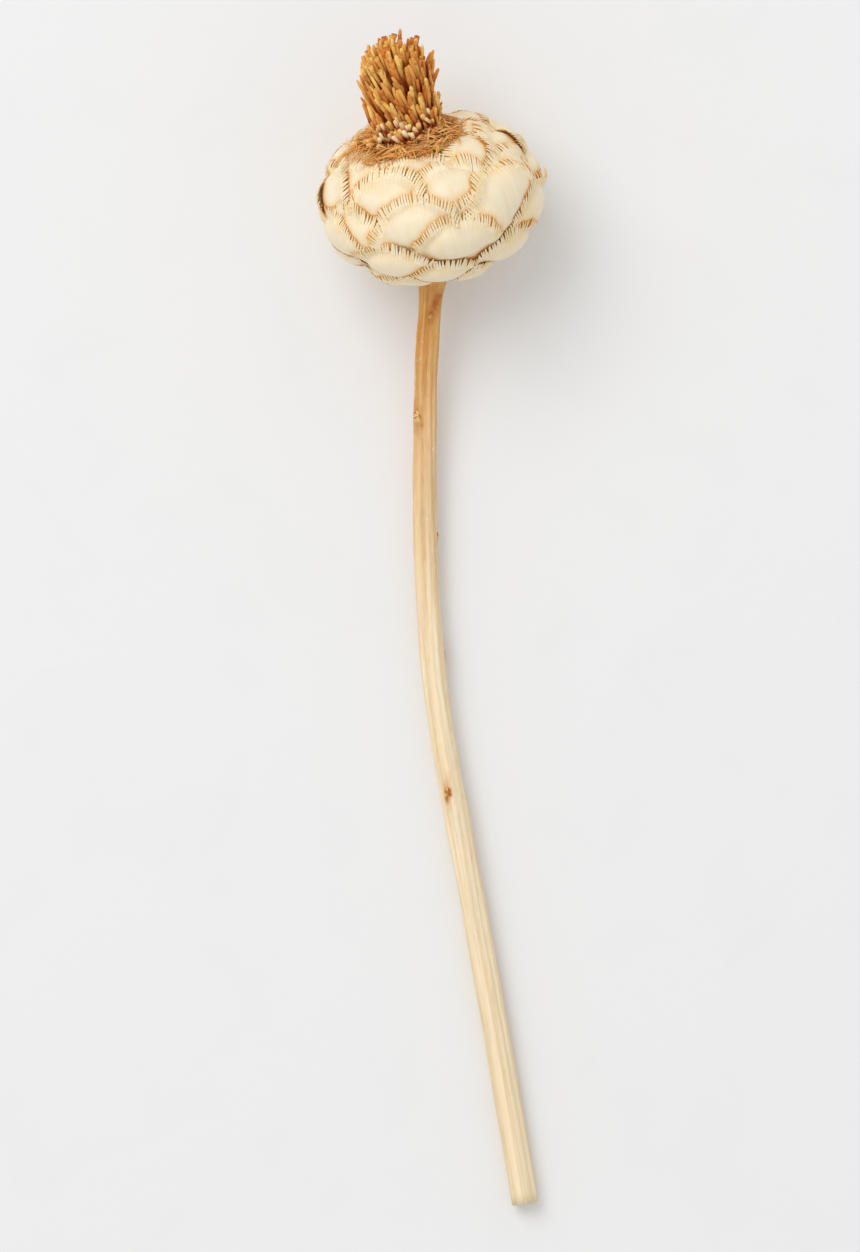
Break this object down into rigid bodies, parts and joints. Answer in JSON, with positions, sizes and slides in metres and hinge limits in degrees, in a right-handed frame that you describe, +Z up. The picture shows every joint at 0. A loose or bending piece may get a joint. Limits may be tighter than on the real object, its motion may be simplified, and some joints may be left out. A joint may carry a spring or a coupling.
{
  "type": "dried artichoke flower",
  "caption": "Bleached dried flower lying on its side: a ball of papery fringed bracts with a golden floret brush in its mouth, on a ribbed cut stem.",
  "frame": {"origin": "middle of the flower's outline seen from above, on the surface that it lies on", "axes": "+Y from the cut end of the stem towards the flower head, +Z up from the surface; the brush leans up and towards -X"},
  "size_m": [0.0456, 0.2388, 0.0425],
  "materials": {
    "bleached_bract": "satin, papery, ivory with tan blotches",
    "golden_floret": "matt, dry, golden brown with paler tips",
    "bleached_stem": "matt, ribbed, pale straw"
  },
  "bodies": {
    "root": {"bract_ball": "bleached_bract", "floret_brush": "golden_floret", "stem": "bleached_stem"}
  },
  "joints": []
}
